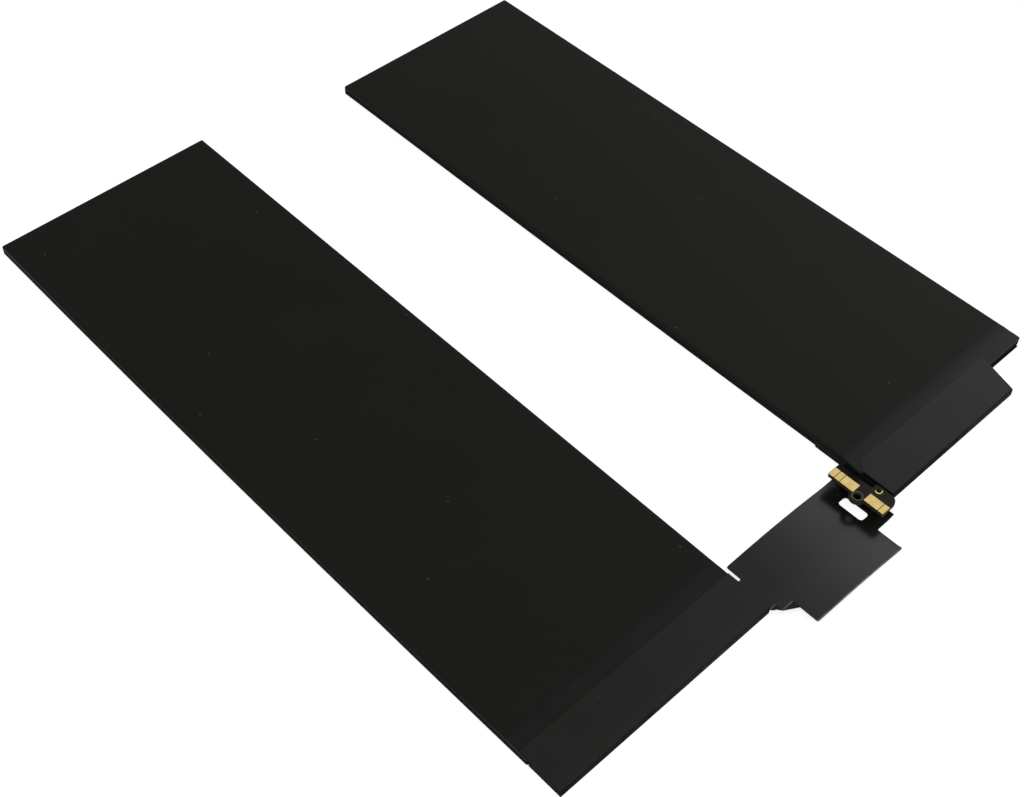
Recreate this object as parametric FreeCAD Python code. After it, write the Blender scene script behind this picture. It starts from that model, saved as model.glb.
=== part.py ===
import FreeCAD, Part
import math
import os

# Tablet battery: two flat pouch cells joined at their near ends by a film bridge.
# The bridge's right end carries a raised contact board.
# Millimetres. +X runs from the left cell to the right one, +Y from the bridge to the far end, +Z up.
# The origin is under the middle of the whole battery, on the plane that it lies on.

# Pouch cells
cell_width = 60.4
cell_thickness = 2.4
left_cell_length = 188.1
right_cell_length = 180.3
bay_width = 41.9
left_outer_bow = 0.6
right_inner_bow = 0.3
corner_radius = 0.5
top_edge_radius = 0.4
bottom_edge_chamfer = 0.08

# Shoulder of the pouch: the top steps down to a ledge that the end wrap is stuck to
ledge_drop = 0.3
ledge_length = 2.9
shoulder_length = 3.7

# Sealed lip of the pouch, which the tabs come out of
seal_length = 4.0
seal_thickness = 0.2
seal_margin = 1.5
fin_length = 0.45

# Tape over the loose end of the right pouch's side seam
tape_thickness = 0.55
tape_start = 2.0
tape_length = 11.4
tape_taper = 0.9
tape_drop = 0.7
tape_lift = 0.25

# End wraps: one film folded round each end block
film = 0.1
fold_radius = 0.5
under_fold_radius = 0.15
left_block_depth = 9.0
right_block_depth = 8.3
wrap_lap = 2.5
wrap_gap = 0.2
left_wrap_inset = 0.2
right_wrap_inset = 15.05
right_wrap_slant = 3.1
right_wrap_setback = 0.5
lap_corner_across = 1.85
lap_corner_along = 2.3
wrap_overrun = 0.1

# Film bridge between the end blocks, which sags to the table and climbs again
flex = 0.12
apron_reach = 8.7
bridge_far_reach = 4.2
bridge_clearance = 0.05
far_edge_slant = 0.4
sag_start = 7.15
valley_start = 5.8
valley_end = 5.5
sag_share = 0.85
slot_width = 0.9
slot_end_gap = 0.3
slot_radius = 0.4
apron_right_gap = 8.4
apron_radius = 0.4
neck_near_reach = 11.2
neck_right_gap = 2.8
flex_tongue = 4.0
flex_root = 9.0

# Stepped near corner of the bridge: a slit along each step, and a gusset of the lower layer beyond it
first_step_reach = 1.4
first_step_depth = 0.1
second_step_reach = 3.4
second_step_depth = 1.85
slit = 0.22
slit_root = 0.35
first_gusset = 1.2
second_gusset = 3.25
second_gusset_depth = 1.9

# Window of the bridge under the screw lug
window_width = 2.85
window_length = 6.56
window_radius = 0.8
window_right_gap = 6.5
window_near_reach = 7.43

# Contact board on its springy tail
contact_lift = 2.0
contact_thickness = 0.8
contact_width = 5.7
contact_length = 15.1
contact_right_gap = 1.7
contact_far_reach = 4.3
contact_radius = 0.3
ear_radius = 2.0
ear_length = 6.1
ear_shoulder = 0.6
waist_inset = 1.6
tail_lap = 2.5
tail_run = 2.2
tail_root = 6.0
flap_gap = 0.6
flap_far_gap = 0.8

# Screw lug, locating hole and gold pads
lug_radius = 1.9
screw_hole_radius = 1.0
screw_ring_radius = 1.35
lug_far_gap = 8.2
locating_hole_radius = 0.5
locating_ring_radius = 0.95
locating_right_gap = 1.2
locating_near_gap = 4.6
pad_thickness = 0.05
pad_width = 2.5
pad_edge_gap = 0.12
pad_gap = 0.16
small_pad_length = 1.34
power_pad_length = 3.71

# Protection boards under the wraps
board_thickness = 0.6
board_fold_gap = 0.1
board_wall_gap = 0.4
board_side_gap = 0.4
board_end_gap = 0.9
board_radius = 0.6

# Tabs and the plates that they are welded to
tab_width = 8.0
tab_thickness = 0.1
tab_inset = 10.8
tab_straight = 0.6
tab_rise_run = 1.3
plate_width = 9.0
plate_length = 1.7
plate_thickness = 0.15
plate_near_gap = 0.5

# Chips on the undersides of the protection boards: across, along and high
switch_chip = (3.3, 3.3, 0.8)
guard_chip = (2.0, 2.0, 0.55)
gauge_chip = (4.0, 4.0, 0.75)
sense_resistor = (3.2, 1.6, 0.55)
thermistor = (1.0, 0.5, 0.5)
chip_spacing = 5.5
chip_chamfer = 0.08
chip_far_gap = 0.6
thermistor_inset = 1.3
tongue_clearance = 0.4

V = FreeCAD.Vector

# Places that follow from the sizes above
overall_width = left_outer_bow + 2 * cell_width + bay_width
overall_length = apron_reach + left_block_depth + left_cell_length
x_left = left_outer_bow - overall_width / 2
x_left_inner = x_left + cell_width
x_right_inner = x_left_inner + bay_width
x_right = overall_width / 2
y_apron = -overall_length / 2
y_left_face = y_apron + apron_reach
y_wall = y_left_face + left_block_depth
y_right_face = y_wall - right_block_depth
y_lap = y_wall + wrap_lap
y_block_back = y_wall - wrap_gap
z_ledge = cell_thickness - ledge_drop
z_wrap_top = z_ledge + film
z_board_top = z_ledge - flex
z_board_bottom = z_board_top - board_thickness
x_left_wrap = x_left + left_wrap_inset
x_left_wrap_end = x_left_inner + wrap_overrun
x_right_wrap = x_right_inner + right_wrap_setback
x_right_wrap_end = x_right - right_wrap_inset
y_board_far = y_wall - board_wall_gap
z_contact_top = cell_thickness + contact_lift
z_contact_face = z_contact_top - pad_thickness
z_contact_bottom = z_contact_face - contact_thickness
x_contact_right = x_right_inner - contact_right_gap
x_contact_left = x_contact_right - contact_width
y_contact_far = y_wall + contact_far_reach
y_contact_near = y_contact_far - contact_length
lug_centre = V(x_contact_left, y_contact_far - lug_far_gap, 0)
locating_centre = V(x_contact_right - locating_right_gap, y_contact_near + locating_near_gap, 0)


def plan(u, v):
    """Point of a plan outline: u along X, v along Y."""
    return V(u, v, 0)


def side(u, v):
    """Point of a section across the block: u along Y, v up."""
    return V(0, u, v)


def front(u, v):
    """Point of a section along the bridge: u along X, v up."""
    return V(u, 0, v)


def outline(corners, place):
    """Closed wire through corners (u, v, radius), each rounded by its radius."""
    points = [V(u, v, 0) for u, v, _ in corners]
    ends = []
    for i, (_, _, radius) in enumerate(corners):
        back = (points[i - 1] - points[i]).normalize()
        ahead = (points[(i + 1) % len(points)] - points[i]).normalize()
        half = back.getAngle(ahead) / 2
        reach = radius / math.tan(half)
        bisector = (back + ahead).normalize()
        middle = points[i] + bisector * (radius / math.sin(half) - radius)
        ends.append((points[i] + back * reach, middle, points[i] + ahead * reach))
    edges = []
    for i, (start, middle, end) in enumerate(ends):
        if corners[i][2] > 0:
            edges.append(Part.Arc(*[place(p.x, p.y) for p in (start, middle, end)]).toShape())
        following = ends[(i + 1) % len(ends)][0]
        if (following - end).Length > 1e-7:
            edges.append(Part.makeLine(place(end.x, end.y), place(following.x, following.y)))
    return Part.Wire(edges)


def prism(corners, place, offset, reach):
    """Solid of a rounded outline, moved by offset and drawn along reach."""
    face = Part.Face(outline(corners, place))
    face.translate(offset)
    return face.extrude(reach)


def upright_prism(corners):
    """Solid of a plan outline that goes right through the battery's thickness."""
    return prism(corners, plan, V(0, 0, -cell_thickness), V(0, 0, 3 * cell_thickness))


def bend(start, end, depth, place):
    """Edges of a run at a depth under its top line: straight where level, else an S of two arcs.

    The end says how much of the run the first arc takes; without that it is half.
    """
    share = end[2] if len(end) > 2 else 0.5
    run = end[0] - start[0]
    rise = end[1] - start[1]
    if abs(rise) < 1e-9:
        return [Part.makeLine(place(start[0], start[1] - depth), place(end[0], end[1] - depth))]
    up = 1 if rise > 0 else -1
    turn = 2 * math.atan(abs(rise) / run)
    first = share * run / math.sin(turn)
    second = (1 - share) * run / math.sin(turn)
    arcs = []
    for radius, middle, sign, angles in [
        (first, (start[0], start[1] + up * first), up, (0, turn / 2, turn)),
        (second, (end[0], end[1] - up * second), -up, (turn, turn / 2, 0)),
    ]:
        reach = radius + sign * depth
        points = [place(middle[0] + sign * up * reach * math.sin(a), middle[1] - sign * reach * math.cos(a))
                  for a in angles]
        arcs.append(Part.Arc(*points).toShape())
    return arcs


def ribbon(stations, top_depth, bottom_depth, place, offset, reach):
    """Sheet between two depths under the line through stations (u, height, share), drawn along reach."""
    edges = []
    for depth in (top_depth, bottom_depth):
        for start, end in zip(stations, stations[1:]):
            edges += bend(start, end, depth, place)
    for u, v in (stations[0][:2], stations[-1][:2]):
        edges.append(Part.makeLine(place(u, v - top_depth), place(u, v - bottom_depth)))
    face = Part.Face(Part.Wire(Part.__sortEdges__(edges)))
    face.translate(offset)
    return face.extrude(reach)


def level_edges(shape, height):
    """Edges of a shape that lie at one height."""
    return [e for e in shape.Edges if all(abs(v.Z - height) < 1e-6 for v in e.Vertexes)]


def upright_edges(shape):
    """Straight edges of a shape that stand on end."""
    return [e for e in shape.Edges if abs(e.tangentAt(e.FirstParameter).z) > 0.999]


def pouch(x_start, length, left_bow, seal_start, seal_end):
    """Sealed pouch cell: body with a bowed left side, shoulder down to the ledge, and the flat sealed lip."""
    x_end = x_start + cell_width
    y_end = y_wall + length
    round_trip = [V(x_start, y_wall, 0), V(x_end, y_wall, 0), V(x_end, y_end, 0), V(x_start, y_end, 0)]
    sides = [Part.makeLine(start, end) for start, end in zip(round_trip, round_trip[1:])]
    widest = V(x_start - left_bow, y_wall + length / 2, 0)
    sides.append(Part.Arc(round_trip[3], widest, round_trip[0]).toShape())
    body = Part.Face(Part.Wire(sides)).extrude(V(0, 0, cell_thickness))
    body = body.makeFillet(corner_radius, upright_edges(body))
    body = body.makeFillet(top_edge_radius, level_edges(body, cell_thickness))
    body = body.makeChamfer(bottom_edge_chamfer, level_edges(body, 0))
    shoulder = ribbon(
        [
            (y_wall - cell_thickness, z_ledge),
            (y_wall + ledge_length, z_ledge),
            (y_wall + ledge_length + shoulder_length, cell_thickness),
        ],
        -cell_thickness, 0, side, V(x_start - left_bow - corner_radius, 0, 0),
        V(cell_width + left_bow + 2 * corner_radius, 0, 0))
    lip = Part.makeBox(seal_end - seal_start, seal_length + corner_radius, seal_thickness,
                       V(seal_start, y_wall - seal_length, film))
    return body.cut(shoulder).fuse(lip).removeSplitter()


def sealed_fin():
    """Short fin of sealed film at the right pouch's bare corner, beside its end wrap."""
    x_start = x_right_wrap_end + right_wrap_slant
    return Part.makeBox(x_right - 2 * corner_radius - x_start, fin_length + seal_margin, seal_thickness,
                        V(x_start, y_wall - fin_length, film))


def seam_tape():
    """Strip against the upright part of the right pouch's inner side, thinned to nothing at both ends."""
    y_start = y_wall + tape_start
    y_end = y_start + tape_length
    x_proud = x_right_inner - tape_thickness
    corners = [
        (x_right_inner, y_start, 0),
        (x_right_inner, y_end, 0),
        (x_proud, y_end - tape_taper, 0),
        (x_proud, y_start + tape_taper, 0),
    ]
    height = cell_thickness - tape_drop - tape_lift
    return prism(corners, plan, V(0, 0, tape_lift), V(0, 0, height))


def folded_wrap(x_start, x_end, y_face, end_fold):
    """Film folded round an end block: from the ledge, down the near face and under, shut along its end fold."""
    section = [
        (y_lap, z_wrap_top, 0),
        (y_face, z_wrap_top, fold_radius),
        (y_face, 0, under_fold_radius),
        (y_block_back, 0, 0),
        (y_block_back, film, 0),
        (y_face + film, film, under_fold_radius - film),
        (y_face + film, z_ledge, fold_radius - film),
        (y_lap, z_ledge, 0),
    ]
    block = [
        (y_block_back, z_wrap_top, 0),
        (y_face, z_wrap_top, fold_radius),
        (y_face, 0, under_fold_radius),
        (y_block_back, 0, 0),
    ]
    start = V(x_start, 0, 0)
    reach = V(x_end - x_start, 0, 0)
    closed_end = prism(block, side, start, reach).common(upright_prism(end_fold))
    return prism(section, side, start, reach).fuse(closed_end)


# Heights of the bridge: top of its cover film, from the left end block to the right one
x_valley_end = x_right_inner - valley_end
x_valley_start = x_right_inner - valley_start
z_valley = bridge_clearance + flex + film
z_right_landing = z_board_bottom + film
x_landing = x_right_inner + wrap_overrun
bridge_run = [
    (x_left_inner - flex_root, z_wrap_top),
    (x_left_inner + sag_start, z_wrap_top),
    (x_valley_start, z_valley, sag_share),
    (x_valley_end, z_valley),
    (x_landing, z_right_landing),
    (x_right_wrap + flex_tongue, z_right_landing),
]

# Plan of the bridge
y_bridge_far = y_wall + bridge_far_reach
y_slot_end = y_wall - slot_end_gap
x_slot = x_left_inner + slot_width
x_apron_right = x_right_inner - apron_right_gap
x_neck_right = x_right_inner - neck_right_gap
y_neck_near = y_wall - neck_near_reach
x_first = x_left_inner + first_step_reach
y_first = y_left_face - first_step_depth
x_second = x_first + second_step_reach
y_second = y_first - second_step_depth
x_window = x_right_inner - window_right_gap - window_width
y_window = y_wall - window_near_reach

right_edge_of_bridge = [
    (x_apron_right, y_apron, apron_radius),
    (x_apron_right, y_neck_near, apron_radius),
    (x_neck_right, y_neck_near, 0),
]
slot_edge = [
    (x_slot, y_bridge_far - far_edge_slant, apron_radius),
    (x_slot, y_slot_end, slot_radius),
]
cover_plan = [
    (x_left_wrap_end, y_first, 0),
    (x_first, y_first, 0),
    (x_first, y_second, 0),
    (x_second, y_second, 0),
    (x_second, y_apron, apron_radius),
    *right_edge_of_bridge,
    (x_neck_right, y_bridge_far, 0),
    *slot_edge,
    (x_left_wrap_end, y_slot_end, 0),
]

# The lower layer goes on into both end blocks, and fills the steps' inside corners beyond the slits
x_emerge = x_left_wrap_end + wrap_overrun
y_left_tongue = y_left_face + fold_radius + board_fold_gap
y_right_tongue = y_right_face + fold_radius + board_fold_gap
flex_plan = [
    (x_left_inner - flex_root, y_left_tongue, 0),
    (x_emerge, y_left_tongue, 0),
    (x_emerge, y_first, 0),
    (x_first - slit_root, y_first, 0),
    (x_first - slit_root, y_first - slit, 0),
    (x_first - first_gusset, y_first - slit, 0),
    (x_first, y_second, 0),
    (x_second - slit_root, y_second, 0),
    (x_second - slit_root, y_second - slit, 0),
    (x_second - second_gusset, y_second - slit, 0),
    (x_second, y_second - slit - second_gusset_depth, 0),
    (x_second, y_apron, apron_radius),
    *right_edge_of_bridge,
    (x_neck_right, y_right_tongue, 0),
    (x_right_wrap + flex_tongue, y_right_tongue, 0),
    (x_right_wrap + flex_tongue, y_board_far, 0),
    (x_neck_right, y_board_far, 0),
    (x_neck_right, y_bridge_far, 0),
    *slot_edge,
    (x_emerge, y_slot_end, 0),
    (x_emerge, y_board_far, 0),
    (x_left_inner - flex_root, y_board_far, 0),
]
window_plan = [
    (x_window, y_window, window_radius),
    (x_window + window_width, y_window, window_radius),
    (x_window + window_width, y_window + window_length, window_radius),
    (x_window, y_window + window_length, window_radius),
]


def bridge_layer(corners, top_depth, bottom_depth):
    """One layer of the bridge: the sagging sheet, cut to its plan and through the window."""
    past = cell_thickness
    sheet = ribbon(bridge_run, top_depth, bottom_depth, front, V(0, y_apron - past, 0),
                   V(0, y_bridge_far - y_apron + 2 * past, 0))
    return sheet.common(upright_prism(corners)).cut(upright_prism(window_plan))


def left_end_wrap():
    """Left end wrap, which runs on to the right as the bridge's cover."""
    end_fold = [
        (x_left_wrap, y_left_face - film, 0),
        (x_left_wrap + film, y_left_face - film, 0),
        (x_left_wrap + film, y_wall, 0),
        (x_left_wrap, y_wall, 0),
    ]
    sleeve = folded_wrap(x_left_wrap, x_left_wrap_end, y_left_face, end_fold)
    return sleeve.fuse(bridge_layer(cover_plan, 0, film)).removeSplitter()


def right_end_wrap():
    """Right end wrap: open at its inner end for the contact tail and the flex, cut aslant and shut at the other."""
    x_lap_end = x_right_wrap_end + right_wrap_slant
    cut_line = [(x_right_wrap_end, y_right_face, 0), (x_lap_end, y_lap, 0)]
    end_fold = cut_line + [(x - film, y, radius) for x, y, radius in reversed(cut_line)]
    trim = [
        (x_right_wrap, y_right_face, 0),
        *cut_line,
        (x_right_wrap + lap_corner_across, y_lap, 0),
        (x_right_wrap, y_lap - lap_corner_along, 0),
    ]
    sleeve = folded_wrap(x_right_wrap, x_lap_end, y_right_face, end_fold)
    return sleeve.common(upright_prism(trim)).removeSplitter()


def upright_hole(centre, radius):
    """Cylinder that drills right through the contact board and what lies on it or under it."""
    return Part.makeCylinder(radius, 2 * z_contact_top, V(centre.x, centre.y, 0))


def contact_board():
    """Rigid contact board with its half-round screw lug, and a rounded ear that holds the locating hole."""
    x_waist = x_contact_right - waist_inset
    y_ear = y_contact_near + ear_length
    corners = [
        (x_contact_left, y_contact_near, contact_radius),
        (x_contact_right, y_contact_near, ear_radius),
        (x_contact_right, y_ear, ear_shoulder),
        (x_waist, y_ear, ear_shoulder),
        (x_waist, y_contact_far, contact_radius),
        (x_contact_left, y_contact_far, contact_radius),
    ]
    thickness = V(0, 0, contact_thickness)
    board = prism(corners, plan, V(0, 0, z_contact_bottom), thickness)
    lug = Part.makeCylinder(lug_radius, contact_thickness, lug_centre + V(0, 0, z_contact_bottom))
    board = board.fuse(lug).removeSplitter()
    board = board.cut(upright_hole(lug_centre, screw_hole_radius))
    return board.cut(upright_hole(locating_centre, locating_hole_radius))


def gold_ring(centre, outer, inner):
    """Flat plated ring on the contact board's face."""
    disc = Part.makeCylinder(outer, pad_thickness, centre + V(0, 0, z_contact_face))
    return disc.cut(upright_hole(centre, inner))


def contact_pads():
    """Row of pads along the outer edge: signal, signal and power, the lug's gap, power and signal."""
    pads = {}
    y_far = y_contact_far - pad_edge_gap
    for name, length in [("data_pad", small_pad_length), ("clock_pad", small_pad_length),
                         ("positive_pad", power_pad_length)]:
        pads[name] = (y_far - length, length)
        y_far -= length + pad_gap
    y_near = y_contact_near + pad_edge_gap
    for name, length in [("sense_pad", small_pad_length), ("negative_pad", power_pad_length)]:
        pads[name] = (y_near, length)
        y_near += length + pad_gap
    x_start = x_contact_left + pad_edge_gap
    return {name: Part.makeBox(pad_width, length, pad_thickness, V(x_start, y, z_contact_face))
            for name, (y, length) in pads.items()}


def contact_tail():
    """Flexible strip from the right protection board up under the contact board, with a flap beside the cell."""
    x_lap = x_contact_right - tail_lap
    x_root = x_right_wrap + tail_root
    x_flap = x_right_inner - flap_gap
    y_flap = y_contact_far - flap_far_gap
    run = [
        (x_lap, z_contact_bottom),
        (x_landing - tail_run, z_contact_bottom),
        (x_landing, z_ledge),
        (x_root, z_ledge),
    ]
    corners = [
        (x_lap, y_right_tongue, 0),
        (x_root, y_right_tongue, 0),
        (x_root, y_board_far, 0),
        (x_flap, y_board_far, 0),
        (x_flap, y_flap, 0),
        (x_lap, y_flap, 0),
    ]
    strip = ribbon(run, 0, flex, front, V(0, y_right_tongue, 0), V(0, y_flap - y_right_tongue, 0))
    strip = strip.common(upright_prism(corners))
    return strip.cut(upright_hole(locating_centre, locating_hole_radius))


def protection_board(x_start, x_end, y_face):
    """Long narrow board under an end wrap."""
    y_near = y_face + fold_radius + board_fold_gap
    corners = [
        (x_start, y_near, board_radius),
        (x_end, y_near, board_radius),
        (x_end, y_board_far, board_radius),
        (x_start, y_board_far, board_radius),
    ]
    return prism(corners, plan, V(0, 0, z_board_bottom), V(0, 0, board_thickness))


def cell_tab(x_middle, y_face):
    """Metal tab: out of the sealed lip, up in an S, and along under its weld plate."""
    z_plate = z_board_bottom - plate_thickness
    z_exit = film + (seal_thickness + tab_thickness) / 2
    y_lip = y_wall - seal_length
    y_rise = y_lip - tab_straight
    y_end = y_face + film + plate_near_gap
    run = [
        (y_end, z_plate),
        (y_rise - tab_rise_run, z_plate),
        (y_rise, z_exit),
        (y_lip, z_exit),
    ]
    return ribbon(run, 0, tab_thickness, side, V(x_middle - tab_width / 2, 0, 0), V(tab_width, 0, 0))


def weld_plate(x_middle, y_face):
    """Plate soldered to the underside of a protection board."""
    corner = V(x_middle - plate_width / 2, y_face + film + plate_near_gap, z_board_bottom - plate_thickness)
    return Part.makeBox(plate_width, plate_length, plate_thickness, corner)


def chip(size, x_middle):
    """Moulded package under a protection board, against its far edge, with its free edges chamfered."""
    across, along, high = size
    corner = V(x_middle - across / 2, y_board_far - chip_far_gap - along, z_board_bottom - high)
    body = Part.makeBox(across, along, high, corner)
    return body.makeChamfer(chip_chamfer, level_edges(body, z_board_bottom - high))


def end_block(prefix, x_inner, x_outer, y_face):
    """What one end wrap holds, laid out from its protection board's ends: tabs, weld plates and chips."""
    away = 1 if x_outer > x_inner else -1
    x_near = x_inner + away * tab_inset
    x_far = x_outer - away * tab_inset
    x_middle = (x_near + x_far) / 2
    board = protection_board(min(x_inner, x_outer), max(x_inner, x_outer), y_face)
    block = {prefix + "_protection_board": board}
    for polarity, x in [("positive", x_near), ("negative", x_far)]:
        block[prefix + "_" + polarity + "_tab"] = cell_tab(x, y_face)
        block[prefix + "_" + polarity + "_plate"] = weld_plate(x, y_face)
    block[prefix + "_switch_chip"] = chip(switch_chip, x_middle - away * chip_spacing)
    block[prefix + "_guard_chip"] = chip(guard_chip, x_middle + away * chip_spacing)
    block[prefix + "_thermistor"] = chip(thermistor, x_outer - away * thermistor_inset)
    return block


left_board_outer = x_left_wrap + film + board_side_gap
left_board_inner = x_left_inner - board_end_gap
right_board_inner = x_right_wrap + board_side_gap
right_board_outer = x_right_wrap_end - film - board_side_gap
x_resistor = x_right_wrap + flex_tongue + tongue_clearance + sense_resistor[0] / 2

left_cell = pouch(x_left, left_cell_length, left_outer_bow, x_left_wrap + seal_margin, x_left_inner - seal_margin)
right_cell = pouch(x_right_inner, right_cell_length, right_inner_bow, x_right_wrap + seal_margin,
                   x_right_wrap_end - seal_margin).fuse(sealed_fin()).removeSplitter()

nodes = {
    "left_cell": left_cell,
    "right_cell": right_cell,
    "right_seam_tape": seam_tape().cut(right_cell),
    "left_end_wrap": left_end_wrap(),
    "right_end_wrap": right_end_wrap(),
    "bridge_flex": bridge_layer(flex_plan, film, film + flex),
    "contact_board": contact_board(),
    "contact_tail": contact_tail(),
    "screw_ring": gold_ring(lug_centre, screw_ring_radius, screw_hole_radius),
    "locating_ring": gold_ring(locating_centre, locating_ring_radius, locating_hole_radius),
    "gauge_chip": chip(gauge_chip, (right_board_inner + right_board_outer) / 2),
    "sense_resistor": chip(sense_resistor, x_resistor),
    **contact_pads(),
    **end_block("left", left_board_inner, left_board_outer, y_left_face),
    **end_block("right", right_board_inner, right_board_outer, y_right_face),
}

os.makedirs("parts", exist_ok=True)
for name, shape in nodes.items():
    shape.exportStep("parts/" + name + ".step")
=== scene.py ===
import math

import bmesh
import bpy
from bpy.props import FloatProperty, FloatVectorProperty, PointerProperty
from mathutils import Matrix, Vector


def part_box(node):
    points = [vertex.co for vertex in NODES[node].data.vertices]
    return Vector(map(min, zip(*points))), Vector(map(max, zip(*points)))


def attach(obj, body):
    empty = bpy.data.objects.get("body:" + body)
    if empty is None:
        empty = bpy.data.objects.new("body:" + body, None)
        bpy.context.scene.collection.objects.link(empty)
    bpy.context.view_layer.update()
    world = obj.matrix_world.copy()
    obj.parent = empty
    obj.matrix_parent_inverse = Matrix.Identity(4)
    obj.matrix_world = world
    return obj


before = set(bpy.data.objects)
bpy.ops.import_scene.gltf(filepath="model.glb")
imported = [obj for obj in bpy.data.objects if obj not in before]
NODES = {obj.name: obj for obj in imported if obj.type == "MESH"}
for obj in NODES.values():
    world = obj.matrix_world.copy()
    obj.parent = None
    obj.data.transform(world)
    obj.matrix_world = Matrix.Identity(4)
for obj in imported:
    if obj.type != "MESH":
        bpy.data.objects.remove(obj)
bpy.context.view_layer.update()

bl_info = {
    "name": "Tablet Battery",
    "version": (1, 0, 0),
    "blender": (4, 5, 0),
    "location": "3D View > Sidebar > Battery",
    "description": "Dresses a flat tablet battery in its films, board and plating, and lights it",
    "category": "Object",
}

MM = 0.001

LEFT_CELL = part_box("left_cell")
RIGHT_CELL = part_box("right_cell")
LEFT_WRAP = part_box("left_end_wrap")
RIGHT_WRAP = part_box("right_end_wrap")
SEAM_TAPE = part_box("right_seam_tape")
CONTACT_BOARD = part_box("contact_board")

# The end wraps lap over the pouches from the wall at which the pouches end
WRAP_LAP = 2.5 * MM
END_WALL = RIGHT_WRAP[1].y - WRAP_LAP

# A place that no piece reaches, for a limit that takes in everything
NO_LIMIT = 1.0

# Pouches: height at which their scuffed sides turn into tops, run of their side seams, and pressed ledges
SCUFF_TOP = 1.6 * MM
FACE_LOW = 2.0 * MM
SEAM_STEPS = 48
SEAM_LEVEL = 0.95 * MM
SEAM_MARGIN = 2.6 * MM
LEDGE_FADE_START = END_WALL + 2.9 * MM
LEDGE_FADE_END = END_WALL + 6.5 * MM
LEDGE_REACH = END_WALL + 6.55 * MM

# Bridge: where a painted sheen lies on its film, where the left wrap's fold ends,
# and what marks its apron's near cut edge
SHEEN_START = END_WALL - 5.5 * MM
SHEEN_FULL = END_WALL - 12 * MM
SHEEN_FADE_START = CONTACT_BOARD[0].x - 5 * MM
SHEEN_FADE_END = CONTACT_BOARD[0].x + 2 * MM
FOLD_END = LEFT_CELL[1].x + 0.2 * MM
APRON_START = LEFT_CELL[1].x + 4.9 * MM
APRON_EDGE = LEFT_WRAP[0].y + 0.4 * MM
SHARP_EDGE = math.radians(60)

# Bridge's stepped corner, in millimetres from the left cell's inner side and from the end wall:
# start, end and reach of the lip in each slit, and plan of the web in the first step's inside corner
SLIT_LIPS = {"first_slit_lip": (-0.2, 1.4, 9.1), "second_slit_lip": (1.4, 4.8, 10.95)}
WEB_PLAN = ((-0.3, -8.9), (-0.26, -9.3), (0.17, -9.73), (0.85, -10.15), (1.0, -9.4), (0.2, -8.9))

# Contact board: where painted shade darkens its mask, and the half turn of the locating hole's rim in
# degrees
MASK_SHADE_START = END_WALL - 3 * MM
MASK_BLEND = 2 * MM
MASK_FILM = 0.06 * MM
RIM_START = 135
RIM_TURN = 180
RIM_STEPS = 40

# A noise texture's values lie mostly in this span, and a wave texture turns by this many radians per unit
NOISE_SPAN = {"From Min": 0.3, "From Max": 0.7}
WAVE_RADIANS = 20

# Scales of a metal's fine pattern: not drawn out, in rolling lines along Y, and in drag marks along X
EVEN = (1.0, 1.0, 1.0)
DRAWN_ALONG_Y = (1.0, 0.2, 1.0)
DRAGGED_ALONG_X = (0.25, 1.0, 1.0)

# Light on the right: the way to it, the cosine off that way at which it ends, and the power of its falloff
SIDE_WAY = Vector((0.936, 0.082, 0.342)).normalized()
SIDE_EDGE = 0.68
SIDE_FALLOFF = 2.0

# Where the studio dims towards the back and to what share, and where its white horizon ends
BACK_START = 0.3
BACK_FULL = 0.65
BACK_SHARE = 0.65
HORIZON_LOW = 0.26
HORIZON_HIGH = 0.3

# Floor, lamp and camera
FLOOR_REACH = 3.0
FLOOR_DROP = 0.05 * MM
LAMP_SIZE = 0.6
LAMP_PLACE = Vector((-0.32, -0.28, 0.66))
CAMERA_PLACE = (-180.82 * MM, -178.42 * MM, 270.60 * MM)
CAMERA_RIGHT = Vector((0.72796, -0.68527, 0.02161))
CAMERA_UP = Vector((0.51371, 0.56604, 0.64474))


def linear(code):
    """Linear RGBA of an sRGB hex code."""
    shares = [int(code[i:i + 2], 16) / 255 for i in (1, 3, 5)]
    return [s / 12.92 if s <= 0.04045 else ((s + 0.055) / 1.055) ** 2.4 for s in shares] + [1.0]


def per_mm(size):
    """Texture scale whose features are about this many millimetres across."""
    return 1 / (size * MM)


def colour(name, code, description):
    """Colour setting that starts from an sRGB hex code."""
    return FloatVectorProperty(name=name, description=description, default=linear(code), size=4,
                               subtype="COLOR", min=0, max=1)


def length(name, millimetres, description):
    """Length setting that starts from a size in millimetres."""
    return FloatProperty(name=name, description=description, default=millimetres * MM, min=0,
                         unit="LENGTH", precision=5)


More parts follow.
